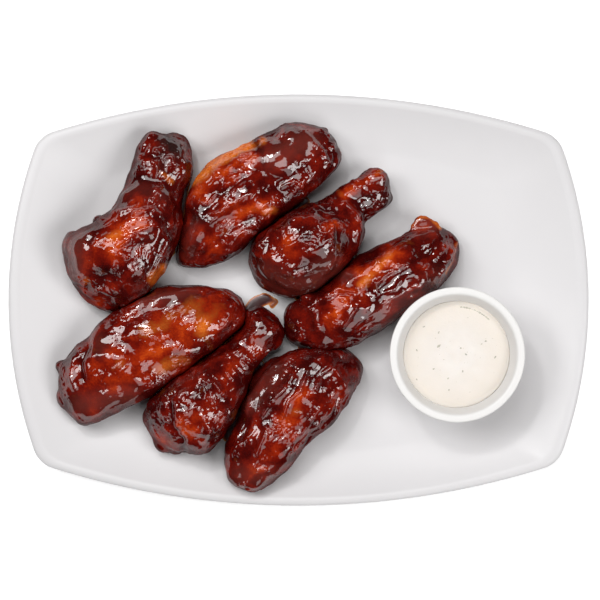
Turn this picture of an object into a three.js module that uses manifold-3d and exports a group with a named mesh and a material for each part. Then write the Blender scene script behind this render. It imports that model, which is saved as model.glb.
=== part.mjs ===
// A serving of chicken wings: three drumettes and four flats in a sticky glaze, with a ramekin
// of white dip, on an oblong coupe platter of white porcelain.
//
// Millimetres. +Z is up and +X runs along the platter's length. The origin is the middle of the
// platter, on the plane that its foot ring stands on.

import * as THREE from 'three';
import { mergeVertices } from 'three/addons/utils/BufferGeometryUtils.js';
import Module from 'manifold-3d';

const wasm = await Module();
wasm.setup();

// ---------------------------------------------------------------- driving dimensions

// Space left between pieces that rest against each other. Wings lie a little further from the
// platter, whose flat facets stand up to 0.2 above its true curve.
const GAP = 0.35;
const PLATTER_GAP = 0.55;

// The platter's outline is two pairs of bowed sides that meet in small round corners. Its
// surface is flat in the middle and rises to a round lip. The foot, the flat floor's edge and the
// lip are given as fractions of the outline.
const PLATTER = {
  length: 280,
  width: 198.5,
  height: 13.5,
  longSideRadius: 398,
  shortSideRadius: 219,
  cornerRadius: 14.5,
  thickness: 3.5,
  footHeight: 2,
  footInner: 0.55,
  footOuter: 0.61,
  footSlope: 0.015,
  floorEdge: 0.74,
  lipInset: 0.016,
  coupePower: 1.5,
  segments: { longSide: 10, shortSide: 8, corner: 4, coupe: 4, lip: 4 },
};

// The ramekin is a plain tapered cup with a flat-topped rim and a shallow foot.
const RAMEKIN = {
  centre: [75.5, -26],
  height: 30,
  rimRadius: 32.4,
  baseRadius: 25,
  rimWidth: 3.6,
  rimRound: 1,
  wallAtBase: 5.5,
  floorThickness: 4.5,
  footWidth: 3,
  footHeight: 1.2,
  sides: 40,
};

// The dip's surface lies below the rim, a little higher in the middle than at its edge. Halfway
// out it has most of that rise, as a share of it.
const DIP = { belowRim: 9, dome: 0.6, halfwayRise: 0.8, sides: 40 };

// A wing is a row of upright sections along a straight line on the plate. Its tables hold the
// half widths to the left and right of that line and the height, at seven stations between the
// two ends. Flats have a groove between their two bones. A drumette's line ends at its knob,
// whose two knuckles are balls given by their middle, with its height above the plate's floor,
// and their radius.
const WINGS = [
  {
    name: 'drumette_upper_left',
    from: [-92, -5.5],
    to: [-63.5, 80],
    left: [15.5, 25, 28.5, 14.5, 11.5, 11, 9.5],
    right: [10.5, 16, 21, 22, 18, 18.5, 13],
    tall: [17, 28, 34, 33, 25, 22, 17],
    groove: 0,
    knuckles: [
      { at: [-58.5, 72.5, 10], radius: 8.5 },
      { at: [-69, 74.5, 11], radius: 7 },
    ],
  },
  {
    name: 'drumette_middle',
    from: [-18, 7],
    to: [41.5, 60],
    left: [12.5, 19, 19, 15.5, 10.5, 9, 7],
    right: [10, 17, 20, 20, 13, 12, 8.5],
    tall: [17, 29, 34, 31, 20, 19, 15],
    groove: 0,
    knuckles: [
      { at: [37, 57, 11.5], radius: 7 },
      { at: [39.5, 49.5, 10], radius: 6.5 },
    ],
  },
  {
    name: 'flat_top',
    from: [-59.5, 17.5],
    to: [16.5, 79],
    left: [3.5, 12.5, 25, 27.5, 22, 19, 10.5],
    right: [6, 13, 15.5, 14.5, 15, 15, 11.5],
    tall: [12, 20, 26, 27, 25, 23, 15],
    groove: 1.6,
    knuckles: [],
  },
  {
    name: 'flat_right',
    from: [-6, -17.5],
    to: [77.5, 28.5],
    left: [10.5, 13, 13.5, 17, 16.5, 14.5, 9.5],
    right: [7.5, 16, 20.5, 19.5, 18, 13.5, 7],
    tall: [15, 22, 26, 27, 25, 20, 12],
    groove: 1.6,
    knuckles: [],
  },
  {
    name: 'drumette_lower',
    from: [-67, -70.5],
    to: [-11, -7.5],
    left: [14, 18.5, 17, 13, 9.5, 8, 11],
    right: [10, 19, 20, 16, 10, 10.5, 8.5],
    tall: [16, 28, 32, 28, 19, 19, 16],
    groove: 0,
    knuckles: [
      { at: [-14, -14, 10.5], radius: 6.5 },
      { at: [-20, -9.5, 11], radius: 6 },
    ],
  },
  {
    name: 'flat_left',
    from: [-111, -55.5],
    to: [-27.5, 1.5],
    left: [15, 24, 26.5, 30, 29, 16.5, 8.5],
    right: [8.5, 11.5, 14, 16, 14.5, 13.5, 9],
    tall: [14, 22, 26, 27, 25, 20, 14],
    groove: 1.6,
    knuckles: [],
  },
  {
    name: 'flat_lower',
    from: [-32, -88.5],
    to: [28, -26],
    left: [9.5, 16, 21, 26, 26.5, 20, 10.5],
    right: [9.5, 13.5, 14.5, 14, 14.5, 12, 8],
    tall: [13, 20, 24, 26, 25, 21, 13],
    groove: 2,
    knuckles: [],
  },
];

// How every wing is drawn: its sections are widest at the belly line, squarer than an ellipse,
// and the skin above that line is lumpy.
const WING_SHAPE = {
  sections: 24,
  sides: 18,
  bellyHeight: 0.44,
  squareness: 2.35,
  grooveWidth: 6,
  lumpHeight: 1,
  lumpLength: 17,
  lumpWidth: 13,
  lumpDiagonal: 29,
  knuckleDetail: 1,
};

const PORCELAIN = { color: '#e8e7ea', roughness: 0.15, metalness: 0 };
const DIP_CREAM = { color: '#f5f0e6', roughness: 0.4, metalness: 0 };
const GLAZE = { color: '#6b1c15', roughness: 0.25, metalness: 0 };

// ---------------------------------------------------------------- helpers

// A closed surface through rings with equally many points, from one end point to the other.
// Each ring runs counter-clockwise seen from the side of the last end point.
function loft(firstPoint, rings, lastPoint) {
  const sides = rings[0].length;
  const points = [firstPoint, ...rings.flat(), lastPoint];
  const last = points.length - 1;
  const at = (ring, side) => 1 + ring * sides + (side % sides);
  const indices = [];
  for (let side = 0; side < sides; side += 1) {
    indices.push(0, at(0, side + 1), at(0, side));
    indices.push(last, at(rings.length - 1, side), at(rings.length - 1, side + 1));
    for (let ring = 0; ring < rings.length - 1; ring += 1) {
      indices.push(at(ring, side), at(ring, side + 1), at(ring + 1, side + 1));
      indices.push(at(ring, side), at(ring + 1, side + 1), at(ring + 1, side));
    }
  }
  const geometry = new THREE.BufferGeometry().setFromPoints(points);
  geometry.setIndex(indices);
  return geometry;
}

function toManifold(geometry) {
  const bare = geometry.clone();
  bare.deleteAttribute('normal');
  bare.deleteAttribute('uv');
  const merged = mergeVertices(bare);
  const vertProperties = new Float32Array(merged.attributes.position.array);
  const triVerts = new Uint32Array(merged.index.array);
  return new wasm.Manifold(new wasm.Mesh({ numProp: 3, vertProperties, triVerts }));
}

function fromManifold(solid) {
  const { vertProperties, triVerts } = solid.getMesh();
  const geometry = new THREE.BufferGeometry();
  geometry.setAttribute('position', new THREE.BufferAttribute(vertProperties, 3));
  geometry.setIndex(new THREE.BufferAttribute(triVerts, 1));
  return geometry;
}

function namedMesh(name, geometry, finish) {
  geometry.computeVertexNormals();
  const mesh = new THREE.Mesh(geometry, new THREE.MeshStandardMaterial(finish));
  mesh.name = name;
  return mesh;
}

// ---------------------------------------------------------------- platter

// The circles that the platter's sides lie on: the long side at +Y and the short side at +X.
const longSide = {
  centre: new THREE.Vector2(0, PLATTER.width / 2 - PLATTER.longSideRadius),
  radius: PLATTER.longSideRadius,
};
const shortSide = {
  centre: new THREE.Vector2(PLATTER.length / 2 - PLATTER.shortSideRadius, 0),
  radius: PLATTER.shortSideRadius,
};

// The centre of the +X +Y corner's circle, which touches both sides' circles from inside.
function cornerCentre() {
  const toLong = longSide.radius - PLATTER.cornerRadius;
  const toShort = shortSide.radius - PLATTER.cornerRadius;
  const between = shortSide.centre.clone().sub(longSide.centre);
  const distance = between.length();
  const along = (toLong ** 2 - toShort ** 2 + distance ** 2) / (2 * distance);
  const across = Math.sqrt(toLong ** 2 - along ** 2);
  const direction = between.normalize();
  const normal = new THREE.Vector2(direction.y, -direction.x);
  return longSide.centre.clone().addScaledVector(direction, along).addScaledVector(normal, across);
}

// Points along an arc, without its last point, which the next arc starts with.
function arcPoints(centre, radius, startAngle, endAngle, segments) {
  return Array.from({ length: segments }, (_, index) => {
    const angle = THREE.MathUtils.lerp(startAngle, endAngle, index / segments);
    return new THREE.Vector2(Math.cos(angle), Math.sin(angle)).multiplyScalar(radius).add(centre);
  });
}

// Half of the outline, from the lower end of the +X side's arc to that of the -X side's. The
// other half is the same turned half round.
function platterOutline() {
  const { segments, cornerRadius } = PLATTER;
  const corner = cornerCentre();
  const sideEnd = corner.clone().sub(shortSide.centre).angle();
  const cornerEnd = corner.clone().sub(longSide.centre).angle();
  const mirrored = new THREE.Vector2(-corner.x, corner.y);
  const half = [
    ...arcPoints(shortSide.centre, shortSide.radius, -sideEnd, sideEnd, segments.shortSide),
    ...arcPoints(corner, cornerRadius, sideEnd, cornerEnd, segments.corner),
    ...arcPoints(longSide.centre, longSide.radius, cornerEnd, Math.PI - cornerEnd, segments.longSide),
    ...arcPoints(mirrored, cornerRadius, Math.PI - cornerEnd, Math.PI - sideEnd, segments.corner),
  ];
  return [...half, ...half.map((point) => point.clone().negate())];
}

const floorTop = PLATTER.footHeight + PLATTER.thickness;
const lipStart = 1 - 2 * PLATTER.lipInset;

// Height of the platter's upper surface where the outline is shrunk to a fraction of its size.
function coupeHeight(fraction) {
  const climb = (fraction - PLATTER.floorEdge) / (lipStart - PLATTER.floorEdge);
  const rise = THREE.MathUtils.clamp(climb, 0, 1) ** PLATTER.coupePower;
  return THREE.MathUtils.lerp(floorTop, PLATTER.height, rise);
}

// Fraction of the outline that passes through a point, from the two sides' circles.
function outlineFraction(x, y) {
  const point = new THREE.Vector2(Math.abs(x), Math.abs(y));
  const fractions = [longSide, shortSide].map(({ centre, radius }) => {
    const along = point.dot(centre);
    const reach = radius ** 2 - centre.lengthSq();
    return (Math.sqrt(along ** 2 + reach * point.lengthSq()) - along) / reach;
  });
  return Math.max(...fractions);
}

// The platter's profile is drawn from its underside, round the foot and lip, to the floor.
function platterGeometry() {
  const { footInner, footOuter, footSlope, footHeight, floorEdge, lipInset } = PLATTER;
  const { thickness, height, segments } = PLATTER;
  const lipRound = thickness / 2;
  const underCoupe = [];
  const upperCoupe = [];
  for (let step = 0; step <= segments.coupe; step += 1) {
    const fraction = THREE.MathUtils.lerp(floorEdge, lipStart, step / segments.coupe);
    underCoupe.push([fraction + lipInset, coupeHeight(fraction) - thickness]);
    upperCoupe.unshift([fraction, coupeHeight(fraction)]);
  }
  const lip = [];
  for (let step = 1; step < segments.lip; step += 1) {
    const angle = Math.PI * (step / segments.lip - 0.5);
    const fraction = 1 - lipInset + lipInset * Math.cos(angle);
    lip.push([fraction, height - lipRound + lipRound * Math.sin(angle)]);
  }
  const profile = [
    [footInner - footSlope, footHeight],
    [footInner, 0],
    [footOuter, 0],
    [footOuter + footSlope, footHeight],
    ...underCoupe,
    ...lip,
    ...upperCoupe,
  ];
  const outline = platterOutline();
  const rings = profile.map(([fraction, z]) => {
    return outline.map(({ x, y }) => new THREE.Vector3(x * fraction, y * fraction, z));
  });
  const underside = new THREE.Vector3(0, 0, footHeight);
  const middle = new THREE.Vector3(0, 0, floorTop);
  return loft(underside, rings, middle);
}

// ---------------------------------------------------------------- ramekin and dip

// Heights in these two profiles are above the ramekin's own base.
const dipLevel = RAMEKIN.height - DIP.belowRim;
const innerRimRadius = RAMEKIN.rimRadius - RAMEKIN.rimWidth;
const innerBaseRadius = RAMEKIN.baseRadius - RAMEKIN.wallAtBase;

// Radius of the ramekin's inner wall at a height, which opens out towards the rim.
function innerWallRadius(height) {
  const share = (height - RAMEKIN.floorThickness) / (RAMEKIN.height - RAMEKIN.floorThickness);
  return THREE.MathUtils.lerp(innerBaseRadius, innerRimRadius, share);
}

function turned(profile, sides) {
  const geometry = new THREE.LatheGeometry(profile.map(([r, z]) => new THREE.Vector2(r, z)), sides);
  geometry.rotateX(Math.PI / 2);
  geometry.translate(...RAMEKIN.centre, floorTop + GAP);
  return geometry;
}

function ramekinGeometry() {
  const { height, rimRadius, rimRound, baseRadius, footWidth, footHeight, floorThickness, sides } = RAMEKIN;
  return turned(
    [
      [0, footHeight],
      [baseRadius - footWidth - footHeight, footHeight],
      [baseRadius - footWidth, 0],
      [baseRadius - rimRound, 0],
      [baseRadius, rimRound],
      [rimRadius, height - rimRound],
      [rimRadius - rimRound, height],
      [innerRimRadius + rimRound / 2, height],
      [innerRimRadius - rimRound / 2, height - rimRound],
      [innerWallRadius(dipLevel), dipLevel],
      [innerBaseRadius, floorThickness + rimRound],
      [innerBaseRadius - rimRound, floorThickness],
      [0, floorThickness],
    ],
    sides,
  );
}

function dipGeometry() {
  const bottom = RAMEKIN.floorThickness + GAP;
  const chamfer = 2 * RAMEKIN.rimRound;
  return turned(
    [
      [0, bottom],
      [innerBaseRadius - chamfer - GAP, bottom],
      [innerBaseRadius - GAP, bottom + chamfer],
      [innerWallRadius(dipLevel) - 2 * GAP, dipLevel],
      [innerWallRadius(dipLevel) / 2, dipLevel + DIP.dome * DIP.halfwayRise],
      [0, dipLevel + DIP.dome],
    ],
    DIP.sides,
  );
}

// ---------------------------------------------------------------- wings

// A smooth run through evenly spaced values, from share 0 to share 1.
function smoothRun(values) {
  const curve = new THREE.SplineCurve(values.map((value, index) => new THREE.Vector2(index, value)));
  return (share) => curve.getPoint(share).y;
}

// Shallow bumps and hollows of the skin, which run on from one wing to the next.
function lumps(x, y) {
  const { lumpHeight, lumpLength, lumpWidth, lumpDiagonal } = WING_SHAPE;
  const crossed = Math.sin((Math.PI * x) / lumpLength) * Math.cos((Math.PI * y) / lumpWidth);
  return lumpHeight * (crossed + Math.sin((Math.PI * (x + 2 * y)) / lumpDiagonal));
}

const roundedPower = (value) => Math.sign(value) * Math.abs(value) ** (2 / WING_SHAPE.squareness);

// A wing without its knuckles, made larger all round by grow. Sections are closer together towards
// the round ends.
function wingGeometry({ from, to, left, right, tall, groove }, grow = 0) {
  const { sections, sides, bellyHeight, grooveWidth } = WING_SHAPE;
  const start = new THREE.Vector2(...from);
  const along = new THREE.Vector2(...to).sub(start);
  const length = along.length();
  along.normalize();
  const leftRun = smoothRun([0, ...left, 0]);
  const rightRun = smoothRun([0, ...right, 0]);
  const tallRun = smoothRun([0, ...tall, 0]);
  const bellyRun = smoothRun([tall[0], ...tall, tall.at(-1)].map((value) => value * bellyHeight));

  const place = (distance, sideways, height, relief = 0) => {
    const x = start.x + along.x * distance - along.y * sideways;
    const y = start.y + along.y * distance + along.x * sideways;
    const dent = groove * Math.exp(-((sideways / grooveWidth) ** 2));
    const surface = height + relief * (lumps(x, y) - dent);
    const onAxis = start.clone().addScaledVector(along, distance);
    const rest = coupeHeight(outlineFraction(onAxis.x, onAxis.y)) + PLATTER_GAP;
    const plate = coupeHeight(outlineFraction(x, y)) + PLATTER_GAP - grow;
    return new THREE.Vector3(x, y, Math.max(rest + surface, plate));
  };

  const rings = [];
  for (let section = 1; section < sections; section += 1) {
    const share = section / sections;
    const distance = THREE.MathUtils.lerp(-grow, length + grow, (1 - Math.cos(Math.PI * share)) / 2);
    const over = tallRun(share) * (1 - bellyHeight);
    const under = tallRun(share) * bellyHeight;
    const ring = [];
    for (let side = 0; side < sides; side += 1) {
      const angle = (2 * Math.PI * side) / sides;
      const across = roundedPower(Math.cos(angle));
      const up = roundedPower(Math.sin(angle));
      const sideways = across * (grow + (across > 0 ? leftRun(share) : rightRun(share)));
      const height = bellyRun(share) + up * (grow + (up > 0 ? over : under));
      ring.push(place(distance, sideways, height, Math.max(0, up) * Math.sin(Math.PI * share)));
    }
    rings.push(ring);
  }
  return loft(place(-grow, 0, bellyRun(0)), rings, place(length + grow, 0, bellyRun(1)));
}

// A wing's solid with its knuckles, made larger all round by grow.
function wingSolid(wing, grow = 0) {
  return wing.knuckles.reduce((solid, { at, radius }) => {
    const ball = new THREE.IcosahedronGeometry(radius + grow, WING_SHAPE.knuckleDetail);
    ball.translate(at[0], at[1], floorTop + at[2]);
    return solid.add(toManifold(ball));
  }, toManifold(wingGeometry(wing, grow)));
}

// Each wing is hollowed a little where one before it in the list leans on it.
function wingMeshes() {
  return WINGS.map((wing, index) => {
    const before = WINGS.slice(0, index).map((other) => wingSolid(other, GAP));
    const solid = before.reduce((rest, other) => rest.subtract(other), wingSolid(wing));
    return namedMesh(wing.name, fromManifold(solid), GLAZE);
  });
}

// ---------------------------------------------------------------- serving

const serving = new THREE.Group();
serving.add(namedMesh('platter', platterGeometry(), PORCELAIN));
serving.add(namedMesh('ramekin', ramekinGeometry(), PORCELAIN));
serving.add(namedMesh('dip', dipGeometry(), DIP_CREAM));
serving.add(...wingMeshes());

export default serving;
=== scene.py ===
import itertools
import math

import bmesh
import bpy
import numpy as np
from mathutils import Matrix, Vector
from mathutils.bvhtree import BVHTree


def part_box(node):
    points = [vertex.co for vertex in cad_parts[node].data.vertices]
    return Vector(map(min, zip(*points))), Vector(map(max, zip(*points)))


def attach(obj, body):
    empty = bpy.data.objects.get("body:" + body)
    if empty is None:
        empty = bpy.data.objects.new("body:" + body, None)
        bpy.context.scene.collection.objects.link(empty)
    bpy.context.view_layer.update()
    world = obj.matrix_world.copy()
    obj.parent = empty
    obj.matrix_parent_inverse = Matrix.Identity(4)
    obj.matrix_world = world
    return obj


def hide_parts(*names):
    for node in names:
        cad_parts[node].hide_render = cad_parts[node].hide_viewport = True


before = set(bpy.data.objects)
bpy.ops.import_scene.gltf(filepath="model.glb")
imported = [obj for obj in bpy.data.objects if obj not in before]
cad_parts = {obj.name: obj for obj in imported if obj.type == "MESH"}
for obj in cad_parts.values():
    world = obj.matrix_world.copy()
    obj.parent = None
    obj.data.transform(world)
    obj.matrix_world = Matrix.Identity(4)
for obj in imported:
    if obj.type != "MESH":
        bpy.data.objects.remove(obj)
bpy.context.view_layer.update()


# ---------------------------------------------------------------- platter
# A slip-cast plate of hard white porcelain. It is glazed all over, but for the foot ring that it
# stood on in the kiln. Its outline is four bowed sides with small round corners, and its flat
# floor rises in an even curve to a round lip.

MM = 0.001

half_length, half_width, rim_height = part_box("platter")[1]
long_side_radius = 398 * MM
short_side_radius = 219 * MM
corner_radius = 14.5 * MM
foot_height = 2 * MM
platter_wall = 3.5 * MM
floor_top = foot_height + platter_wall

# Shares of the outline: where the floor begins to rise, and how far in the lip is rounded.
floor_edge = 0.74
lip_inset = 0.016
lip_start = 1 - 2 * lip_inset
floor_overlap = 0.04

long_side_centre = np.array([0, half_width - long_side_radius])
short_side_centre = np.array([half_length - short_side_radius, 0])


def coupe_height(fraction):
    """Height of the upper surface where the outline is shrunk to a fraction of its size."""
    climb = np.clip((fraction - floor_edge) / (lip_start - floor_edge), 0, 1)
    steepening = 1.5
    return floor_top + (rim_height - floor_top) * climb**steepening


def outline_fraction(x, y):
    """The fraction of the outline that passes through each point."""
    spots = np.stack([np.abs(x), np.abs(y)], axis=-1)
    found = []
    for centre, radius in (
        (long_side_centre, long_side_radius),
        (short_side_centre, short_side_radius),
    ):
        along = spots @ centre
        reach = radius**2 - centre @ centre
        found.append((np.sqrt(along**2 + reach * (spots**2).sum(axis=-1)) - along) / reach)
    return np.maximum(*found)


def platter_height(x, y):
    return coupe_height(outline_fraction(x, y))


def arc(centre, radius, start, end, steps):
    angles = np.linspace(start, end, steps, endpoint=False)
    return centre + radius * np.stack([np.cos(angles), np.sin(angles)], axis=1)


def platter_outline():
    """The outline's points, counter-clockwise. The corner's circle touches both sides' circles."""
    to_long = long_side_radius - corner_radius
    to_short = short_side_radius - corner_radius
    between = short_side_centre - long_side_centre
    distance = np.hypot(*between)
    along = (to_long**2 - to_short**2 + distance**2) / (2 * distance)
    across = math.sqrt(to_long**2 - along**2)
    direction = between / distance
    corner = long_side_centre + direction * along + np.array([direction[1], -direction[0]]) * across
    side_end = math.atan2(*(corner - short_side_centre)[::-1])
    corner_end = math.atan2(*(corner - long_side_centre)[::-1])
    half = np.concatenate([
        arc(short_side_centre, short_side_radius, -side_end, side_end, 44),
        arc(corner, corner_radius, side_end, corner_end, 12),
        arc(long_side_centre, long_side_radius, corner_end, math.pi - corner_end, 60),
        arc(corner * (-1, 1), corner_radius, math.pi - corner_end, math.pi - side_end, 12),
    ])
    return np.concatenate([half, -half])


def round_object(name, rings, first, last):
    """A closed, smooth mesh through rings of points, between two end points."""
    rings = np.asarray(rings)
    count, sides = rings.shape[:2]
    points = np.concatenate([[first], rings.reshape(-1, 3), [last]])
    index = 1 + np.arange(count * sides).reshape(count, sides)
    onward = np.roll(index, -1, axis=1)
    walls = np.stack([index[:-1], onward[:-1], onward[1:], index[1:]], axis=-1).reshape(-1, 4)
    floor = [(0, int(b), int(a)) for a, b in zip(index[0], onward[0])]
    lid = [(len(points) - 1, int(a), int(b)) for a, b in zip(index[-1], onward[-1])]
    mesh = bpy.data.meshes.new(name)
    mesh.from_pydata(points.tolist(), [], walls.tolist() + floor + lid)
    mesh.shade_smooth()
    made = bpy.data.objects.new(name, mesh)
    bpy.context.scene.collection.objects.link(made)
    return made


def platter_profile():
    """Pairs of outline fraction and height, from the underside round the lip to the floor."""
    fractions = np.linspace(floor_edge - floor_overlap, lip_start, 16)
    under = np.stack([fractions + lip_inset, coupe_height(fractions) - platter_wall], axis=1)
    angles = np.linspace(-0.5, 0.5, 9)[1:-1] * math.pi
    lip = np.stack([
        1 - lip_inset + lip_inset * np.cos(angles),
        rim_height + platter_wall / 2 * (np.sin(angles) - 1),
    ], axis=1)
    inner = np.linspace(lip_start, floor_edge - floor_overlap, 24)
    upper = np.stack([inner, coupe_height(inner)], axis=1)
    foot = [
        (0.2, foot_height),
        (0.4, foot_height),
        (0.53, foot_height),
        (0.537, foot_height * 0.92),
        (0.55, foot_height * 0.12),
        (0.555, 0),
        (0.605, 0),
        (0.61, foot_height * 0.12),
        (0.622, foot_height * 0.95),
        (0.63, foot_height),
    ]
    floor = [(share, floor_top) for share in (0.66, 0.58, 0.5, 0.4, 0.3, 0.2, 0.1)]
    return np.concatenate([foot, under, lip, upper, floor])


outline = platter_outline()
platter = round_object(
    "platter_porcelain",
    [np.column_stack([outline * share, np.full(len(outline), z)]) for share, z in platter_profile()],
    (0, 0, foot_height),
    (0, 0, floor_top),
)


def add_node(material, kind, inputs=None, **settings):
    """A shader node. An input is given as a number or colour, or as the output that feeds it."""
    made = material.node_tree.nodes.new(kind)
    for name, value in settings.items():
        setattr(made, name, value)
    for name, value in (inputs or {}).items():
        if isinstance(value, bpy.types.NodeSocket):
            material.node_tree.links.new(value, made.inputs[name])
        else:
            made.inputs[name].default_value = value
    return made


def new_material(name):
    """An empty node material and its object coordinates, which are in metres."""
    material = bpy.data.materials.new(name)
    material.use_nodes = True
    material.node_tree.nodes.clear()
    return material, add_node(material, "ShaderNodeTexCoord").outputs["Object"]


def finish_material(material, **inputs):
    """Ends the material in a Principled shader with these inputs."""
    named = {
        key.replace("_", " ").title().replace("Ior", "IOR"): value for key, value in inputs.items()
    }
    shader = add_node(material, "ShaderNodeBsdfPrincipled", named)
    add_node(material, "ShaderNodeOutputMaterial", {"Surface": shader.outputs["BSDF"]})
    return material


def linear(red, green, blue):
    """A colour as the eye reads it, from 0 to 255, as the light values that shaders use."""
    shares = (level / 255 for level in (red, green, blue))
    lit = [((s + 0.055) / 1.055) ** 2.4 if s > 0.04045 else s / 12.92 for s in shares]
    return [*lit, 1]


def noise_node(material, place, size, detail=2, **inputs):
    """Noise whose features are about size metres across."""
    return add_node(
        material,
        "ShaderNodeTexNoise",
        {"Vector": place, "Scale": 1 / size, "Detail": detail, **inputs},
    ).outputs["Fac"]


def ramp_node(material, factor, stops):
    """A colour ramp with a stop at each pair of position and colour."""
    ramp = add_node(material, "ShaderNodeValToRGB", {"Fac": factor})
    elements = ramp.color_ramp.elements
    while len(elements) < len(stops):
        elements.new(0.5)
    for element, (position, colour) in zip(elements, stops):
        element.position = position
        element.color = colour
    return ramp.outputs["Color"]


def scaled(material, value, low, high, to_low=0.0, to_high=1.0):
    """The value, with its range from low to high stretched to the range from to_low to to_high."""
    return add_node(
        material,
        "ShaderNodeMapRange",
        {"Value": value, "From Min": low, "From Max": high, "To Min": to_low, "To Max": to_high},
    ).outputs["Result"]


def mix_colours(material, factor, first, second):
    """The first colour where the factor is 0, the second where it is 1."""
    return add_node(
        material, "ShaderNodeMixRGB", {"Fac": factor, "Color1": first, "Color2": second}
    ).outputs["Color"]


def bump_node(material, strength, distance, height):
    """The surface's normal, tilted as if it rose and fell by distance with the height."""
    return add_node(
        material,
        "ShaderNodeBump",
        {"Strength": strength, "Distance": distance, "Height": height},
    ).outputs["Normal"]


glaze_roughness, bare_roughness = 0.46, 0.75
bare_clay = linear(214, 205, 190)


def porcelain(name, tone, glaze_line):
    """Glazed white porcelain, bare and matt below the height of the glaze line."""
    material, place = new_material(name)
    height = add_node(material, "ShaderNodeSeparateXYZ", {"Vector": place}).outputs["Z"]
    bare = scaled(material, height, glaze_line, glaze_line + 0.2 * MM, 1, 0)
    glaze = ramp_node(material, noise_node(material, place, 45 * MM, detail=3), [
        (0.3, linear(*(value - 2 for value in tone))),
        (0.7, linear(*(value + 1 for value in tone))),
    ])
    ripple = noise_node(material, place, 14 * MM, detail=1)
    grain = noise_node(material, place, 0.5 * MM)
    relief = mix_colours(material, bare, ripple, grain)
    return finish_material(
        material,
        base_color=mix_colours(material, bare, glaze, bare_clay),
        roughness=scaled(material, bare, 0, 1, glaze_roughness, bare_roughness),
        normal=bump_node(material, 0.12, 0.2 * MM, relief),
        coat_weight=0.1,
        coat_roughness=0.2,
    )


plate_white = (218, 216, 217)
bare_foot = 0.05 * MM
platter.data.materials.append(porcelain("white_porcelain", plate_white, bare_foot))
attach(platter, "root")
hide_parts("platter")


# ---------------------------------------------------------------- ramekin
# A small porcelain cup for dip, thrown in one piece with a straight tapered wall, a flat-topped
# rim with softened edges and a low foot ring.

cup_low, cup_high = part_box("ramekin")
cup_x, cup_y = (cup_low.x + cup_high.x) / 2, (cup_low.y + cup_high.y) / 2
cup_radius = (cup_high.x - cup_low.x) / 2
cup_height = cup_high.z - cup_low.z
cup_base_radius = 25 * MM
cup_floor = 4.5 * MM
foot_ring_width = 3 * MM
foot_hollow = 1.2 * MM
rim_width = 3.6 * MM
rim_slope_width = 1.2 * MM
rim_slope_depth = 2.5 * MM
inner_rim_radius = cup_radius - rim_width
inner_wall_radius = inner_rim_radius - rim_slope_width
inner_base_radius = cup_base_radius - 5.5 * MM
cup_white = (235, 233, 231)


def softened(corners, reach, steps=5):
    """A profile through corners, each but the first and last rounded off within reach."""
    corners = np.array(corners, float)
    points = [corners[0]]
    for before, corner, after in zip(corners, corners[1:], corners[2:]):
        to_before = (before - corner) / np.linalg.norm(before - corner)
        to_after = (after - corner) / np.linalg.norm(after - corner)
        shorter_side = min(np.linalg.norm(before - corner), np.linalg.norm(after - corner))
        limit = min(reach, shorter_side / 2.1)
        for share in np.linspace(0, 1, steps):
            start, end = corner + to_before * limit, corner + to_after * limit
            bend = 2 * share * (1 - share) * corner
            points.append((1 - share) ** 2 * start + bend + share**2 * end)
    points.append(corners[-1])
    return np.array(points)


def turned(name, profile, sides=160):
    """A turned shape on the ramekin's axis, from pairs of radius and height above its base."""
    angles = np.linspace(0, 2 * math.pi, sides, endpoint=False)
    circle = np.stack([np.cos(angles), np.sin(angles)], axis=1)
    rings = [
        np.column_stack([circle * radius + (cup_x, cup_y), np.full(sides, cup_low.z + height)])
        for radius, height in profile[1:-1]
    ]
    ends = [(cup_x, cup_y, cup_low.z + height) for _, height in (profile[0], profile[-1])]
    return round_object(name, rings, *ends)


ramekin = turned("ramekin_porcelain", softened([
    (0, foot_hollow),
    (cup_base_radius - foot_ring_width - foot_hollow, foot_hollow),
    (cup_base_radius - foot_ring_width, 0),
    (cup_base_radius, 0),
    (cup_radius, cup_height),
    (inner_rim_radius, cup_height),
    (inner_wall_radius, cup_height - rim_slope_depth),
    (inner_base_radius, cup_floor),
    (0, cup_floor),
], reach=1.1 * MM))
ramekin.data.materials.append(porcelain("ramekin_glaze", cup_white, cup_low.z + bare_foot))
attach(ramekin, "root")
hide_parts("ramekin")


# ---------------------------------------------------------------- dip
# Thick cold ranch dip, spooned in and settled nearly level, with a film that creases near the
# edge. Chopped herbs and cracked pepper show as flecks half sunk in it.

dip_level = cup_height - 9 * MM
dip_top = cup_low.z + dip_level
dip_bottom = cup_low.z + cup_floor + 1 * MM
dip_radius = inner_base_radius + (inner_wall_radius - inner_base_radius) * (
    (dip_level - cup_floor) / (cup_height - rim_slope_depth - cup_floor)
)
dip_dome = 0.45 * MM
dip_edge_width, dip_edge_height = 2.2 * MM, 0.7 * MM
crease_radius, crease_width, crease_depth = 22.8 * MM, 0.6 * MM, 0.3 * MM
crease_middle, crease_spread = 1.15, 0.32


def uneven(points, height, size, seed):
    """Smooth noise from about -height to height at each point, with features about size across.
    It comes from a repeating lattice of random slopes."""
    lattice = 24
    points = points / size
    slopes = np.random.default_rng(seed).normal(size=(lattice, lattice, lattice, 3))
    slopes /= np.linalg.norm(slopes, axis=3, keepdims=True)
    cell = np.floor(points).astype(int)
    inside = points - cell
    blend = inside**3 * (inside * (inside * 6 - 15) + 10)
    total = np.zeros(len(points))
    for corner in itertools.product((0, 1), repeat=3):
        step = np.array(corner)
        slope = slopes[tuple(((cell + step) % lattice).T)]
        weight = np.prod(np.where(step, blend, 1 - blend), axis=1)
        total += weight * ((inside - step) * slope).sum(axis=1)
    return height * (1.6 * total)


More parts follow.
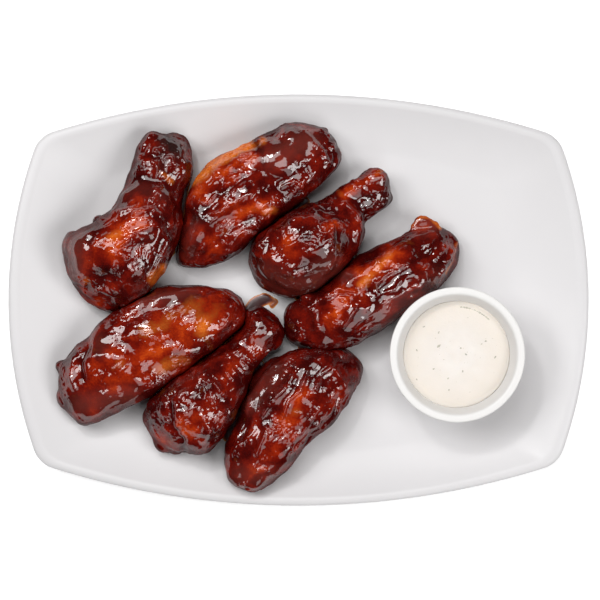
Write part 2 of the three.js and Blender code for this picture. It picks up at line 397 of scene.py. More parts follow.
def dip_surface(x, y):
    """Height of the dip's surface over points measured from the middle of the cup."""
    radius = np.hypot(x, y)
    spots = np.column_stack([x, y, np.zeros_like(x)])
    swirl = uneven(spots, 0.35 * MM, 16 * MM, 3)
    edge = np.clip((radius - dip_radius + dip_edge_width) / dip_edge_width, 0, 1)
    across_crease = (radius - crease_radius) / crease_width
    along_crease = (np.arctan2(y, x) - crease_middle) / crease_spread
    crease = crease_depth * np.exp(-(across_crease**2) - along_crease**2)
    dome = dip_dome * (1 - (radius / dip_radius) ** 2)
    return dip_top + dome + swirl * (1 - edge) + dip_edge_height * edge**2 - crease


angles = np.linspace(0, 2 * math.pi, 144, endpoint=False)
circle = np.stack([np.cos(angles), np.sin(angles)], axis=1)
wall_sink = 0.25 * MM
dip_rings = [np.column_stack([
    circle * inner_base_radius + (cup_x, cup_y),
    np.full(len(circle), dip_bottom),
])]
for radius in np.linspace(dip_radius + wall_sink, 1.2 * MM, 30):
    flat = circle * radius
    dip_rings.append(np.column_stack([flat + (cup_x, cup_y), dip_surface(*flat.T)]))
dip = round_object(
    "dip_cream",
    dip_rings,
    (cup_x, cup_y, dip_bottom),
    (cup_x, cup_y, dip_top + dip_dome),
)

material, place = new_material("cream_dip")
curd = noise_node(material, place, 7 * MM, detail=4)
dots = noise_node(material, place, 0.9 * MM, detail=2)
# The dip turns a darker cream from 8 mm out to its edge. This is painted shade for the shading of the
# film's curve and the cup's wall.
middle = (cup_x, cup_y, dip_top)
from_middle = add_node(
    material, "ShaderNodeVectorMath", {0: place, 1: middle}, operation="DISTANCE"
).outputs["Value"]
dip.data.materials.append(finish_material(
    material,
    base_color=mix_colours(
        material,
        scaled(material, from_middle, 8 * MM, dip_radius),
        ramp_node(material, curd, [(0.3, linear(229, 222, 215)), (0.7, linear(235, 229, 223))]),
        linear(222, 213, 202),
    ),
    roughness=0.42,
    normal=bump_node(material, 0.35, 0.25 * MM, dots),
    subsurface_weight=0.25,
    subsurface_radius=(1, 0.8, 0.6),
    subsurface_scale=2 * MM,
))
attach(dip, "root")
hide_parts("dip")

# The flecks that show most: place from the middle of the cup and length in millimetres, and turn
# in degrees.
big_flecks = [
    (-15.5, 13.3, 1.5, 20),
    (-8.5, 10.5, 1.6, 70),
    (-8.5, 4, 2.6, 35),
    (-19, 2, 1.4, 110),
    (2, 3, 1.3, 10),
    (4.5, 0, 1.5, 150),
    (18.5, -1.3, 1.7, 60),
    (14, 6.3, 1.4, 0),
    (12, 5, 1.2, 40),
    (3, -8, 1.3, 95),
    (-11, -7, 1.5, 15),
    (-19, -12, 1.2, 130),
    (-4, -11.5, 1.4, 50),
    (-3.6, -17, 1.2, 80),
]


chip_sink, chip_keel = 0.25 * MM, 0.3 * MM
chip_rise, chip_crown = 0.06 * MM, 0.13 * MM


def fleck_mesh(spots, seed):
    """Small flat chips, each an uneven six-sided scrap lying half sunk in the dip."""
    rng = np.random.default_rng(seed)
    points, faces = [], []
    for x, y, length, turn in spots:
        start = len(points)
        angle = math.radians(turn)
        corners = np.linspace(0, 2 * math.pi, 6, endpoint=False) + rng.uniform(-0.3, 0.3, 6)
        reach = rng.uniform(0.7, 1.1, 6) * length * MM / 2
        along, across = np.cos(corners) * reach, np.sin(corners) * reach * 0.55
        flat_x = x * MM + along * math.cos(angle) - across * math.sin(angle)
        flat_y = y * MM + along * math.sin(angle) + across * math.cos(angle)
        level = dip_surface(flat_x, flat_y)
        points += zip(flat_x + cup_x, flat_y + cup_y, level - chip_sink)
        points += zip(flat_x + cup_x, flat_y + cup_y, level + chip_rise)
        top = dip_surface(np.array([x * MM]), np.array([y * MM]))[0]
        for height in (top - chip_keel, top + chip_crown):
            points.append((x * MM + cup_x, y * MM + cup_y, height))
        for side in range(6):
            following = (side + 1) % 6
            faces.append((start + side, start + following, start + 6 + following, start + 6 + side))
            faces.append((start + 12, start + following, start + side))
            faces.append((start + 13, start + 6 + side, start + 6 + following))
    mesh = bpy.data.meshes.new("herbs")
    mesh.from_pydata([tuple(map(float, point)) for point in points], [], faces)
    return mesh


rng = np.random.default_rng(11)
small_flecks = []
for _ in range(46):
    reach, angle = 22.5 * math.sqrt(rng.uniform()), rng.uniform(0, 2 * math.pi)
    length, turn = rng.uniform(0.35, 0.8), rng.uniform(0, 180)
    small_flecks.append((reach * math.cos(angle), reach * math.sin(angle), length, turn))
for turn in np.linspace(48, 84, 12):
    angle, reach = math.radians(turn), crease_radius / MM
    length = rng.uniform(0.9, 2)
    big_flecks.append((reach * math.cos(angle), reach * math.sin(angle), length, turn + 90))
for name, spots, tint in (
    ("dip_herbs", big_flecks, (184, 179, 164)),
    ("dip_pepper", small_flecks, (206, 200, 186)),
):
    flecks = bpy.data.objects.new(name, fleck_mesh(spots, seed=5))
    bpy.context.scene.collection.objects.link(flecks)
    material, place = new_material(name)
    mottle = noise_node(material, place, 0.6 * MM)
    flecks.data.materials.append(finish_material(
        material,
        base_color=ramp_node(material, mottle, [
            (0.35, linear(*(value - 22 for value in tint))),
            (0.7, linear(*(value + 25 for value in tint))),
        ]),
        roughness=0.5,
    ))
    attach(flecks, "root")


# ---------------------------------------------------------------- wings
# Fried chicken drumettes and flats, tossed hot in a thick dark red sauce. The skin has shrunk
# into folds and blisters. The sauce fills its hollows smooth, lies thin on its high spots, where
# the fried skin shows orange, and has caught dark on the knobs of bone.


def stroke(points, path, width):
    """How near each point is in plan to a line through the path: 1 on it, fading over width."""
    path = np.array(path, float)
    if len(path) == 1:
        path = np.concatenate([path, path])
    nearest = np.full(len(points), np.inf)
    for start, end in zip(path, path[1:]):
        span = end - start
        share = np.clip((points[:, :2] - start) @ span / max(span @ span, 1e-9), 0, 1)
        away = np.linalg.norm(points[:, :2] - start - share[:, None] * span, axis=1)
        nearest = np.minimum(nearest, away)
    return np.exp(-((nearest / width) ** 2))


def strokes(points, marks):
    """Sum of strokes, each given as a path in millimetres, a width and a strength."""
    total = np.zeros(len(points))
    for path, width, strength in marks:
        total += strength * stroke(points, path, width)
    return total


def evened(values, edges, rounds):
    """Values at a mesh's points, each drawn towards its neighbours' mean a number of times."""
    count = np.bincount(edges.ravel(), minlength=len(values))
    for _ in range(rounds):
        total = np.bincount(edges[:, 0], weights=values[edges[:, 1]], minlength=len(values))
        total += np.bincount(edges[:, 1], weights=values[edges[:, 0]], minlength=len(values))
        values = (values + total / count) / 2
    return values


def wing_skin(name, node, lobes):
    """A fine even skin over the wing's solid and its lobes: ellipsoids in millimetres."""
    shape = bmesh.new()
    shape.from_mesh(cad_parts[node].data)
    for x, y, z, length, width, height, turn in lobes:
        sizes = Matrix.Diagonal((length * MM, width * MM, height * MM, 1))
        spot = Matrix.Translation(Vector((x, y, z)) * MM) @ Matrix.Rotation(math.radians(turn), 4, "Z")
        bmesh.ops.create_icosphere(shape, subdivisions=3, radius=1, matrix=spot @ sizes)
    mesh = bpy.data.meshes.new(name)
    shape.to_mesh(mesh)
    shape.free()
    draft = bpy.data.objects.new(name, mesh)
    bpy.context.scene.collection.objects.link(draft)
    remesh = draft.modifiers.new("skin", "REMESH")
    remesh.mode = "VOXEL"
    remesh.voxel_size = 0.94 * MM
    soften = draft.modifiers.new("soften", "SMOOTH")
    soften.iterations = 5
    draft.modifiers.new("divide", "SUBSURF").levels = 1
    draft.modifiers["divide"].render_levels = 1
    settled = draft.evaluated_get(bpy.context.evaluated_depsgraph_get())
    draft.data = bpy.data.meshes.new_from_object(settled)
    draft.data.name = name
    draft.modifiers.clear()
    draft.data.materials.clear()
    bpy.data.meshes.remove(mesh)
    return draft


def read_vectors(collection, key, width=3, kind=float):
    values = np.empty(len(collection) * width, kind)
    collection.foreach_get(key, values)
    return values.reshape(-1, width)


def set_attribute(mesh, name, values):
    mesh.attributes.new(name, "FLOAT", "POINT").data.foreach_set("value", values.astype(np.float32))


# Wings that would meet are held apart by the gap. The reach is more than any would overlap.
contact_gap = 0.15 * MM
contact_reach = 2.4 * MM
finished_wings = []


def pressed_apart(spots):
    """The spots, with those inside a finished wing brought out to just off its surface."""
    for tree in finished_wings:
        for index, spot in enumerate(spots):
            nearest, outward, _, _ = tree.find_nearest(spot, contact_reach)
            if nearest and (Vector(spot) - nearest).dot(outward) < contact_gap:
                spots[index] = nearest + outward * contact_gap
    return spots


def glazed_wing(
    name, node, seed, axis,
    grain=1.6, roughness=1.0, lobes=(), folds=(), bare=(), red=(), burnt=(), wet=(),
):
    """A glazed piece, worked out in millimetres. Axis is the direction in degrees that its skin is
    wrinkled along, and grain is how much longer than wide the wrinkles are. Folds raise or dent the
    skin along a path. Bare spots are hardly sauced and red ones thinly. Wet ones carry thick sauce
    that has set smooth and duller. Their colour is drawn towards a pinkish brown, which is a painted
    sheen for the dull haze of light they reflect, stronger on upward faces. Burnt ones are charred.
    The sauce colour also darkens on faces turned from straight up: partly sauce that ran down,
    partly painted shade."""
    wing = wing_skin(name, node, lobes)
    mesh = wing.data
    points = read_vectors(mesh.vertices, "co") / MM
    normals = read_vectors(mesh.vertices, "normal")
    edges = read_vectors(mesh.edges, "vertices", 2, np.int32)
    top = np.clip(normals[:, 2], 0, 1)

    turn = math.radians(axis)
    along = points[:, 0] * math.cos(turn) + points[:, 1] * math.sin(turn)
    across = points[:, 1] * math.cos(turn) - points[:, 0] * math.sin(turn)
    warp = uneven(points, 2.2, 9, seed + 1)
    grained = np.column_stack([along / grain + warp, across + warp, points[:, 2]])

    lumps = uneven(points, 1.1, 15, seed + 2) + uneven(points, 0.9, 8, seed + 3)
    busy = np.clip(0.75 + uneven(points, 1.1, 11, seed + 4), 0.2, 1.5) * roughness
    busy *= 0.3 + 0.7 * np.clip(1.5 * top, 0, 1)
    creases = np.abs(uneven(grained, 1.5, 5.6, seed + 5))
    creases += np.abs(uneven(grained, 1, 3, seed + 6))
    gathered = np.clip(0.5 + uneven(points, 1.3, 9, seed + 10), 0.05, 1.3)
    pebbles = gathered * np.abs(uneven(points, 0.95, 1.8, seed + 7))
    usual_relief = 0.7
    folded = strokes(points, folds) * (0.35 + 0.65 * top)
    skin = busy * (creases + pebbles - usual_relief) + folded

    bareness = strokes(points, bare)
    redness = strokes(points, red)
    wetness = strokes(points, wet)
    level = evened(skin, edges, 40)
    level += uneven(points, 0.45, 8, seed + 8) + 0.5 * wetness - 0.35 * bareness
    softness = 0.05
    film = softness * np.logaddexp(skin / softness, level / softness)
    sauce_and_shade = evened(film - skin, edges, 20)
    # The sauce colour darkens on faces turned from straight up: partly sauce that ran down them,
    # partly painted shade.
    sauce_and_shade += 0.25 * (1 - top) - 0.3 * wetness
    beads = 0.12 * np.clip(uneven(points, 1, 1.5, seed + 9) - 0.3, 0, 1)

    shrinkage = 0.3
    moved = points + normals * (film + beads + lumps - shrinkage)[:, None]
    plate_gap = 0.15
    floor = platter_height(moved[:, 0] * MM, moved[:, 1] * MM) / MM + plate_gap
    moved[:, 2] = np.maximum(moved[:, 2], floor)
    mesh.vertices.foreach_set("co", pressed_apart(moved * MM).ravel())
    mesh.update()
    finished_wings.append(BVHTree.FromObject(wing, bpy.context.evaluated_depsgraph_get()))
    # The sauce attribute holds the sauce's thickness together with the painted shade on steep faces.
    set_attribute(mesh, "sauce", sauce_and_shade)
    set_attribute(mesh, "bare", np.clip(bareness, 0, 1))
    set_attribute(mesh, "red", np.clip(redness, 0, 1))
    smooth_sauce = np.clip(wetness, 0, 1)
    wrinkles = np.clip(busy / roughness, 0.2, 1) * (1 - 0.6 * smooth_sauce)
    # The set share, larger on upward faces, drives a painted sheen in the glaze's colour.
    set_attribute(mesh, "set", smooth_sauce * (0.4 + 0.6 * top))
    set_attribute(mesh, "side", np.clip(1 - 1.4 * top, 0, 1))
    set_attribute(mesh, "wrinkle", evened(wrinkles, edges, 4))
    set_attribute(mesh, "char", np.clip(strokes(points, burnt), 0, 1))
    mesh.shade_smooth()
    mesh.materials.append(sticky_glaze)
    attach(wing, "root")
    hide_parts(node)


def attribute_node(material, name):
    return add_node(material, "ShaderNodeAttribute", attribute_name=name).outputs["Fac"]


def calculated(material, operation, first, second):
    made = add_node(material, "ShaderNodeMath", operation=operation)
    for socket, value in zip(made.inputs, (first, second)):
        if isinstance(value, bpy.types.NodeSocket):
            material.node_tree.links.new(value, socket)
        else:
            socket.default_value = value
    return made.outputs["Value"]


def swing(material, noise, low, high):
    """Noise, most of which lies between 0.3 and 0.7, stretched to the range from low to high."""
    return scaled(material, noise, 0.3, 0.7, low, high)


sticky_glaze, place = new_material("sticky_glaze")
blotch = noise_node(sticky_glaze, place, 10 * MM, detail=4, Roughness=0.5)
grit = noise_node(sticky_glaze, place, 1.1 * MM, detail=3, Roughness=0.65)
blotch_shift = swing(sticky_glaze, blotch, -0.25, 0.25)
# The glaze's colour follows the sauce attribute, which also carries painted shade on steep faces.
sauce_and_shade = calculated(sticky_glaze, "ADD", attribute_node(sticky_glaze, "sauce"), blotch_shift)
sauce_and_shade = calculated(sticky_glaze, "ADD", sauce_and_shade, swing(sticky_glaze, grit, -0.1, 0.1))
thinned = scaled(sticky_glaze, attribute_node(sticky_glaze, "red"), 0, 1, 0, 0.45)
sauce_and_shade = calculated(sticky_glaze, "SUBTRACT", sauce_and_shade, thinned)
sauce_colour = ramp_node(sticky_glaze, scaled(sticky_glaze, sauce_and_shade, -0.5, 0.8), [
    (0.0, linear(190, 66, 17)),
    (0.16, linear(152, 38, 10)),
    (0.34, linear(112, 18, 7)),
    (0.55, linear(72, 7, 5)),
    (1.0, linear(32, 2, 3)),
])
skin_colour = ramp_node(sticky_glaze, grit, [
    (0.3, linear(196, 80, 22)),
    (0.7, linear(232, 128, 46)),
])
# The pinkish brown mixed in where the sauce has set is a painted sheen. It stands in for the dull haze
# that smooth set sauce reflects.
hazy_sheen_brown = linear(118, 50, 42)
char_black = linear(42, 26, 24)
sheen_mix = scaled(sticky_glaze, attribute_node(sticky_glaze, "set"), 0.1, 0.9, 0, 0.55)
sauce_colour = mix_colours(sticky_glaze, sheen_mix, sauce_colour, hazy_sheen_brown)
bare_edge = calculated(sticky_glaze, "ADD", attribute_node(sticky_glaze, "bare"), blotch_shift)
bared = scaled(sticky_glaze, bare_edge, 0.2, 0.9)
with_skin = mix_colours(sticky_glaze, bared, sauce_colour, skin_colour)
charred = attribute_node(sticky_glaze, "char")
with_char = mix_colours(sticky_glaze, charred, with_skin, char_black)
skin_on_sauce = noise_node(sticky_glaze, place, 1.6 * MM, detail=1.5, Roughness=0.5)
wrinkling = scaled(sticky_glaze, attribute_node(sticky_glaze, "wrinkle"), 0, 1, 0, 0.45)
dullness = calculated(
    sticky_glaze,
    "ADD",
    attribute_node(sticky_glaze, "side"),
    scaled(sticky_glaze, attribute_node(sticky_glaze, "red"), 0, 1, 0, 0.5),
)
finish_material(
    sticky_glaze,
    base_color=with_char,
    roughness=swing(sticky_glaze, blotch, 0.3, 0.42),
    normal=bump_node(sticky_glaze, 0.5, 0.12 * MM, grit),
    specular_ior_level=0.0,
    coat_weight=scaled(sticky_glaze, dullness, 0, 1, 1, 0.15),
    coat_roughness=0.035,
    coat_normal=bump_node(sticky_glaze, wrinkling, 0.35 * MM, skin_on_sauce),
    coat_ior=1.68,
    subsurface_weight=0.08,
    subsurface_radius=(1, 0.25, 0.1),
    subsurface_scale=1.5 * MM,
)


def ring(x, y, radius):
    """A path once round a middle point."""
    turns = np.linspace(0, 2 * math.pi, 9)
    return [(x + radius * math.cos(turn), y + radius * math.sin(turn)) for turn in turns]


def comb(start, step, tooth, count, width=0.6, strength=0.7):
    """Short like marks side by side, as pleats of shrunk skin."""
    starts = [(start[0] + step[0] * k, start[1] + step[1] * k) for k in range(count)]
    return [([(x, y), (x + tooth[0], y + tooth[1])], width, strength) for x, y in starts]


glazed_wing(
    "drumette_upper_left_glazed", "drumette_upper_left", seed=100, axis=70,
    lobes=[
        (-108, 23, 15, 7, 10, 9, 10),
        (-95.5, 38, 14, 3.5, 3, 4, 40),
        (-91, 34.5, 27, 3, 3, 3, 0),
        (-71, 63.5, 25, 4, 4, 4, 0),
        (-58, 67, 22, 3.5, 3.5, 4, 0),
        (-68, 77, 20, 6, 4, 4, -15),
    ],
    folds=[
        ([(-85, 50), (-77, 54), (-67, 53), (-61, 45), (-60, 36)], 2.2, 0.9),
        ([(-79, 58), (-71, 57.5), (-64, 55.5), (-58.5, 48)], 1.6, -0.9),
        ([(-82, 46), (-74, 49.5), (-66, 46)], 1.2, 0.5),
        ([(-78, 41), (-71, 44), (-66, 40)], 1.2, 1.1),
        (ring(-71, 63.5, 3)[:6], 1.1, 0.7),
        (ring(-58, 67, 2.8)[3:], 1.1, 0.7),
        ([(-100, 29), (-98, 18), (-101, 6)], 1.8, -1.2),
        ([(-97, 39), (-87, 42), (-80, 44)], 1.5, 1.2),
        ([(-84, 26), (-76, 33), (-68, 36)], 1.4, 1.0),
        ([(-62, 28), (-66, 18), (-72, 8)], 1.4, 1.1),
        ([(-92, 4), (-84, -2), (-78, 2)], 1.5, 1.1),
        ([(-74, 70), (-66, 68), (-60, 73)], 1.4, -1.2),
        ([(-55, 80), (-51, 74)], 4, -2.6),
    ],
    bare=[
        ([(-88, 30), (-85.5, 31.5)], 3.2, 0.8), ([(-61, 57), (-65.8, 61)], 1.8, 0.5),
        ([(-70, 9.5), (-65, 15)], 2.6, 0.75), ([(-102, 9)], 3, 0.4),
    ],
    red=[([(-88, 26), (-76, 36)], 8, 1), ([(-70, 75)], 4, 0.8), ([(-105, 4), (-98, -2)], 5, 0.8)],
    burnt=[([(-62, 76), (-58, 72)], 5, 0.95), ([(-66, 64)], 3, 0.4), ([(-72, 30)], 4, 0.3)],
    wet=[([(-106, 30), (-107, 15)], 6, 1.2), ([(-84, 50), (-76, 53), (-66, 49)], 5, 0.5)],
)
glazed_wing(
    "flat_top_glazed", "flat_top", seed=200, axis=40, grain=2.0,
    lobes=[
        (-5.5, 81, 17, 7, 4, 6, 20),
        (3.5, 80, 18, 6, 4, 6, 0),
        (11.5, 80.5, 16, 3, 3, 4, 30),
    ],
    folds=[
        ([(-24, 76), (-18, 72), (-17, 66)], 1.8, -1.4),
        ([(-57, 30), (-48, 40), (-38, 50), (-26, 58)], 1.5, -1.1),
        ([(-54, 24), (-44, 36), (-30, 47), (-14, 55)], 1.5, 1.0),
        ([(-46, 22), (-32, 34), (-14, 44)], 1.4, -0.9),
        ([(-52, 46), (-46, 40), (-38, 42)], 1.3, 1.2),
        ([(-10, 62), (0, 66), (6, 70)], 1.5, 0.6),
        ([(7, 75), (12, 71), (14, 66)], 1.1, 0.9),
        ([(-8, 54), (-2, 57), (2, 54)], 1.2, 1.1),
    ],
    bare=[
        ([(-49.5, 58), (-40, 66), (-31, 71.5), (-25, 74)], 3.4, 1.0),
        ([(-17, 76.5)], 2.2, 0.6), ([(-16, 42), (-12, 42.5)], 2.6, 0.6),
    ],
    red=[([(-48, 52), (-38, 60), (-24, 66)], 6, 0.9), ([(-42, 25), (-30, 40), (-16, 44)], 6, 0.7)],
    wet=[([(-12, 68), (4, 76)], 7, 1.0), ([(-54, 22), (-50, 36)], 5, 0.6)],
)
glazed_wing(
    "drumette_middle_glazed", "drumette_middle", seed=300, axis=36,
    lobes=[(14, 35.5, 36, 4, 4, 3, 0), (27, 32, 18, 4, 7, 10, -20)],
    folds=[
        ([(22, 46), (27, 42), (29.5, 35), (27, 24)], 2.0, 2.0),
        ([(26, 49), (31, 43), (33.5, 36)], 1.8, -1.8),
        ([(-20, 20), (-19, 25), (-13, 34)], 1.6, 0.8),
        ([(-5, 38), (6, 39), (14, 32), (16, 24)], 1.6, 1.0),
        ([(-15, 22), (-13, 27)], 1.6, -0.7),
        ([(-8, 24), (0, 28), (8, 26)], 1.3, 1.0),
        ([(33.5, 48.3), (30, 50)], 2.2, -2.2),
        ([(38, 52), (43, 54)], 1.4, 1.2),
        ([(-12, 14), (-4, 12), (6, 14)], 1.3, 1.2),
    ],
    bare=[([(37.5, 60.5), (40, 62)], 1.6, 0.45), ([(21, 50)], 2, 0.35)],
    red=[([(-6.5, 28)], 5, 0.7), ([(16, 35)], 4, 1.0), ([(20, 48), (36, 60)], 4, 0.8)],
    burnt=[([(42, 55), (43, 48)], 4, 0.4), ([(33, 48)], 3, 0.6)],
    wet=[([(-16, 12), (-6, 4), (8, 6), (16, 16)], 7, 1.2)],
)
glazed_wing(
    "flat_right_glazed", "flat_right", seed=400, axis=30, grain=1.8,
    lobes=[
        (-3, -7, 15, 4, 5, 6, 0),
        (-2.5, -16, 12, 4, 3, 5, 0),
        (5, 1, 22, 4, 4, 4, 0),
        (61, 34.5, 17, 7.5, 4.5, 1.5, 5),
        (59.5, 37.5, 17.5, 4, 3.4, 1.5, 20),
    ],
    folds=[
        ([(27, 4), (18.5, 5.2), (13, 1)], 1.2, 1.4),
        ([(27.6, -4), (21.7, -12.4)], 1.1, 1.5),
        ([(40, -2), (52, 5), (64, 13)], 1.8, 1.0),
        ([(38, 3), (46, 5), (50, 11)], 1.2, 0.9),
        ([(32, -8), (38, -2), (40, 6)], 1.3, -0.9),
        ([(75, 24), (71, 18), (68, 12.5)], 1.3, 1.4),
        ([(71, 27), (66, 20)], 1.2, 1.2),
        ([(67, 29), (62, 22)], 1.2, -1.2),
        ([(30, 18), (40, 24), (50, 30)], 1.5, -1.0),
        ([(36, 6), (44, 14), (52, 18)], 1.3, 0.9),
        ([(2, -2), (8, -6), (10, -14)], 1.3, 1.1),
    ],
    bare=[
        ([(43.5, 21), (38, 15)], 2.4, 0.7), ([(34, 12), (30, 7.5)], 2.2, 0.65),
        ([(18, -6)], 3.2, 0.4), ([(54.5, 35), (59, 40), (63, 39.5), (68, 35)], 1.2, 0.6),
        ([(76.5, 27), (75, 19), (71.5, 13)], 1.2, 0.5),
    ],
    red=[([(46, 23), (28, 8), (16, -8)], 6, 0.9), ([(61, 36)], 5, 0.8)],
    wet=[
        ([(40, -8), (54, 0), (66, 10)], 7, 0.55), ([(12, 17), (24, 12)], 4, 0.8),
        ([(56, 36), (64, 36)], 5, 1.2),
    ],
)
glazed_wing(
    "flat_left_glazed", "flat_left", seed=500, axis=30, grain=1.3, roughness=0.58,
    lobes=[
        (-114, -32, 13, 3.5, 3.2, 4, 0),
        (-103, -25, 17, 6, 5, 7, 30),
        (-112, -47, 13, 5.5, 6, 6, 0),
        (-96, -19, 20, 6, 5, 5, 30),
        (-104, -53, 13, 7, 5, 6, 0),
    ],
    folds=[
        ([(-100.7, -22), (-104.6, -30), (-103.3, -37)], 1.6, -1.6),
        ([(-95, -13.5), (-98, -20), (-98, -27)], 1.6, 1.3),
        ([(-108, -28), (-109, -36), (-107, -42)], 1.4, 1.3),
        ([(-83, -9.4), (-67, -3.5), (-54, 2.4), (-41, 4.4)], 1.8, -1.3),
        ([(-31, -2), (-33, -9), (-36, -13)], 1.6, 1.2),
        ([(-84, -20), (-72, -22), (-62, -20)], 1.8, -0.6),
        ([(-100, -44), (-88, -40), (-76, -42)], 2, -0.8),
    ],
    bare=[
        ([(-72, -14.5), (-62, -9.5)], 5, 0.35), ([(-46, -12.5)], 4.6, 0.75),
        ([(-55, -5), (-47, -1)], 4, 0.35), ([(-84.5, -29)], 4.5, 0.3),
        ([(-66, -33), (-55, -29)], 4.5, 0.5), ([(-40, -6)], 5, 0.25),
    ],
    red=[([(-94, -38), (-70, -22), (-42, -6)], 13, 0.65)],
    wet=[
        ([(-74, -1), (-50, 5)], 4, 1.0), ([(-104, -50), (-80, -46)], 6, 1.0),
        ([(-98, -14), (-94, -24)], 5, 0.7),
    ],
)
glazed_wing(
    "drumette_lower_glazed", "drumette_lower", seed=600, axis=52,
    lobes=[
        (-53, -46, 30, 6, 6, 5, 0),
        (-68, -53, 16, 6, 7, 8, 10),
        (-63, -65, 12, 7, 9, 8, -20),
        (-59, -70, 11, 5, 5, 6, 0),
        (-47, -70, 12, 6, 5, 7, 20),
        (-22, -9, 14, 4.5, 6, 6, 20),
        (-13, -19, 14, 5, 6, 6, 20),
    ],
    folds=[
        ([(-61.5, -50), (-60.5, -60), (-56, -68), (-55, -75)], 1.6, -2.4),
        ([(-47, -38), (-40, -40), (-35, -46)], 1.4, 1.2),
        ([(-20, -40), (-26, -32)], 1.6, 1.0),
        ([(-46, -56), (-42, -62), (-46, -68)], 1.5, 1.2),
        ([(-50, -34), (-40, -29), (-28, -24)], 1.6, 1.2),
        (ring(-53, -46, 5)[2:8], 1.3, -0.7),
        ([(-72, -52), (-66, -50), (-62, -56)], 1.4, -1.2),
    ] + comb((-36, -36), (2.3, 1.7), (2.6, -3.5), 6),
    bare=[
        ([(-31.7, -42.3)], 1.8, 0.4), ([(-66, -66), (-60, -72)], 4, 0.2),
        ([(-62, -45), (-48, -30)], 2.5, 0.2),
    ],
    red=[
        ([(-57, -60), (-52, -62)], 4.5, 1), ([(-36, -34), (-24, -26)], 4, 0.4),
        ([(-66, -68)], 6, 0.7),
    ],
)
glazed_wing(
    "flat_lower_glazed", "flat_lower", seed=700, axis=54, grain=2.6,
    lobes=[
        (-16, -36, 12, 11, 4.5, 6, 42),
        (25, -32, 14, 5, 5.5, 5, 60),
        (-13, -80, 12, 14, 7, 7, 50),
        (-26, -86, 12, 7, 6, 7, 20),
    ],
    folds=[
        ([(4.2, -33.5), (0.7, -43), (-5, -48.4), (-8.8, -58)], 1.1, 1.6),
        ([(-2.8, -37), (-7.2, -43), (-13, -49), (-18, -56)], 1.2, 1.4),
        ([(15.6, -32), (11.2, -35.3), (7.7, -42.3)], 1.2, 1.3),
        ([(17.8, -33.5), (23.5, -43)], 1.2, 1.3),
        ([(-15, -60.7), (-17, -66), (-20.3, -73.8)], 1.2, 1.4),
        ([(21, -51), (9, -63), (3, -71), (-3, -76)], 1.5, -1.6),
        ([(18, -44), (8, -54), (2, -64)], 1.3, 1.0),
        ([(-14, -40), (-22, -52), (-28, -66)], 1.6, -1.3),
    ] + comb((-22, -82.5), (2.3, 0.8), (2, 5.5), 4),
    bare=[([(-1.9, -51.9), (-7.2, -58)], 3, 0.25)],
    red=[([(2, -46), (-8, -62)], 6, 0.9), ([(-22, -84), (-10, -74)], 6, 0.6)],
    wet=[([(-24, -50), (-10, -33)], 5, 0.9), ([(-28, -84), (-14, -84)], 6, 0.8)],
)


# ---------------------------------------------------------------- sauce on the plate
# Sauce that ran off the wings: wet pools held where pieces lie close, and a thin curl and smears
# whose edges dried to amber. It lies straight on the glaze of the porcelain.

# Each spill is a path in millimetres, a width and a thickness.
spills = [
    ([(-24, -6), (-21, -1.5), (-17, 0.2)], 2.9, 1.3),
    ([(-25, -9), (-21.5, -4)], 2.6, 1.2),
    ([(-18, 0), (-14.8, 0.8), (-11, -0.8), (-12.5, -3)], 1.8, 0.66),
    ([(-60, -37), (-46, -25), (-30, -13)], 3, 1.4),
    ([(0, 3), (12, 8), (26, 20)], 3, 1.4),
    ([(2, -22), (16, -26)], 2.6, 1.4),
    ([(-55, 60), (-58, 42), (-63, 24)], 3, 1.4),
    ([(-19, -32), (-27, -46), (-34, -66)], 2.8, 1.4),
    ([(-83, -6), (-74, 3)], 2.6, 1.2),
    ([(3, 48), (-8, 38), (-20, 26)], 2.4, 1.2),
    ([(57, 37), (63, 39), (68, 35)], 1.5, 0.72),
]
least_thickness, feathered_edge = 0.45, -0.12
sauce_height, edge_slope = 0.4 * MM, 0.5 * MM
grid_step = 0.4 * MM
steps_x = np.arange(-90 * MM, 75 * MM, grid_step)
steps_y = np.arange(-75 * MM, 68 * MM, grid_step)
flat_x, flat_y = (part.ravel() for part in np.meshgrid(steps_x, steps_y))
spots = np.column_stack([flat_x, flat_y, np.zeros_like(flat_x)]) / MM
thickness = strokes(spots, spills) - least_thickness + uneven(spots, 0.12, 3, 41)
wet_spots = thickness > feathered_edge
rounded = sauce_height * np.tanh(1.6 * thickness)
upper = platter_height(flat_x, flat_y) + np.where(thickness > 0, rounded, edge_slope * thickness)
grid = np.arange(len(flat_x)).reshape(len(steps_y), len(steps_x))
cells = np.stack([grid[:-1, :-1], grid[:-1, 1:], grid[1:, 1:], grid[1:, :-1]], axis=-1).reshape(-1, 4)
cells = cells[wet_spots[cells].all(axis=1)]
used, cells = np.unique(cells, return_inverse=True)
cells = cells.reshape(-1, 4)
mesh = bpy.data.meshes.new("plate_sauce")
mesh.from_pydata(np.column_stack([flat_x, flat_y, upper])[used].tolist(), [], cells.tolist())
set_attribute(mesh, "sauce", np.clip(thickness[used], 0, 1))
mesh.shade_smooth()
plate_sauce = bpy.data.objects.new("plate_sauce", mesh)
bpy.context.scene.collection.objects.link(plate_sauce)
shell = plate_sauce.modifiers.new("shell", "SOLIDIFY")
shell.thickness = 0.12 * MM
shell.offset = -1

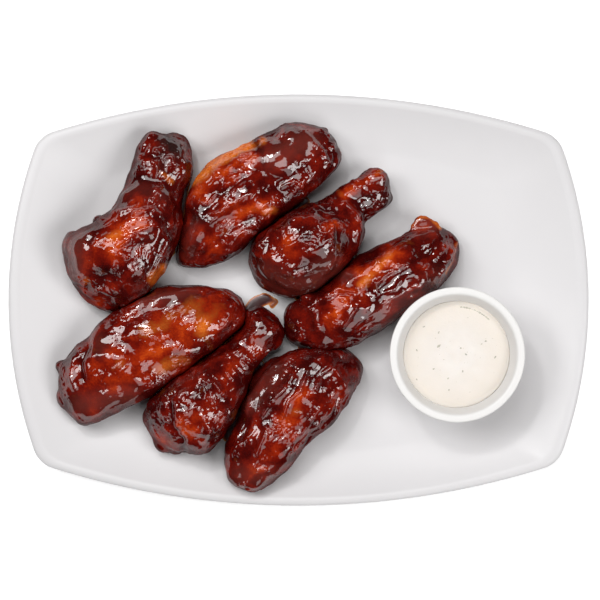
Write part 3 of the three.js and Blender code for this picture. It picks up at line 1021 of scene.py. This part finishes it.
material, place = new_material("run_sauce")
ripple = noise_node(material, place, 3 * MM, detail=3)
ripple_shift = swing(material, ripple, -0.05, 0.05)
sauce_depth = calculated(material, "ADD", attribute_node(material, "sauce"), ripple_shift)
mesh.materials.append(finish_material(
    material,
    base_color=ramp_node(material, sauce_depth, [
        (0.0, linear(222, 164, 88)),
        (0.12, linear(186, 98, 34)),
        (0.35, linear(104, 32, 12)),
        (0.7, linear(54, 8, 6)),
    ]),
    roughness=0.3,
    coat_weight=0.2,
    coat_roughness=0.12,
))
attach(plate_sauce, "root")


# ---------------------------------------------------------------- surroundings
# A white painted table under four large soft lights and one small lamp, seen from straight above.
# The table only stands in for the room, and isn't a piece of the serving.


def grey(value):
    return (value, value, value, 1)


bpy.ops.mesh.primitive_plane_add(size=6, location=(0, 0, -0.2 * MM))
floor = bpy.context.object
floor.name = "floor"
floor_paint, place = new_material("floor_white")
shade = noise_node(floor_paint, place, 0.4)
finish_material(
    floor_paint,
    base_color=ramp_node(floor_paint, shade, [(0.3, grey(0.88)), (0.7, grey(0.9))]),
    roughness=0.9,
    emission_color=grey(1),
    emission_strength=0.35,
)
floor.data.materials.append(floor_paint)


def soft_light(name, place, size, power):
    """A square light, size metres across, that faces the middle of the plate."""
    light = bpy.data.lights.new(name, "AREA")
    light.shape = "SQUARE"
    light.size = size
    light.energy = power
    lamp = bpy.data.objects.new(name, light)
    lamp.location = place
    lamp.rotation_euler = (-Vector(place)).to_track_quat("-Z", "Y").to_euler()
    bpy.context.scene.collection.objects.link(lamp)


soft_light("left_light", (-0.7, 0.3, 1.0), 0.45, 5.2)
soft_light("right_light", (0.72, -0.2, 1.0), 0.45, 4.8)
soft_light("front_light", (0.4, -0.75, 1.1), 0.9, 5.0)
soft_light("high_light", (-0.15, 0.5, 1.4), 0.8, 7.8)
soft_light("lamp", (-0.35, 0.6, 1.1), 0.12, 2.2)

world = bpy.data.worlds.new("studio")
world.use_nodes = True
world.node_tree.nodes["Background"].inputs["Color"].default_value = (1, 1, 1, 1)
world.node_tree.nodes["Background"].inputs["Strength"].default_value = 0.02
bpy.context.scene.world = world
bpy.context.scene.view_settings.view_transform = "Standard"

camera_distance = 1.6
camera_offset = 0.7 * MM
view_width = 289.2 * MM
camera_data = bpy.data.cameras.new("camera")
camera_data.lens = camera_data.sensor_width * camera_distance / view_width
camera = bpy.data.objects.new("camera", camera_data)
camera.location = (camera_offset, 0, rim_height + camera_distance)
bpy.context.scene.collection.objects.link(camera)
bpy.context.scene.camera = camera
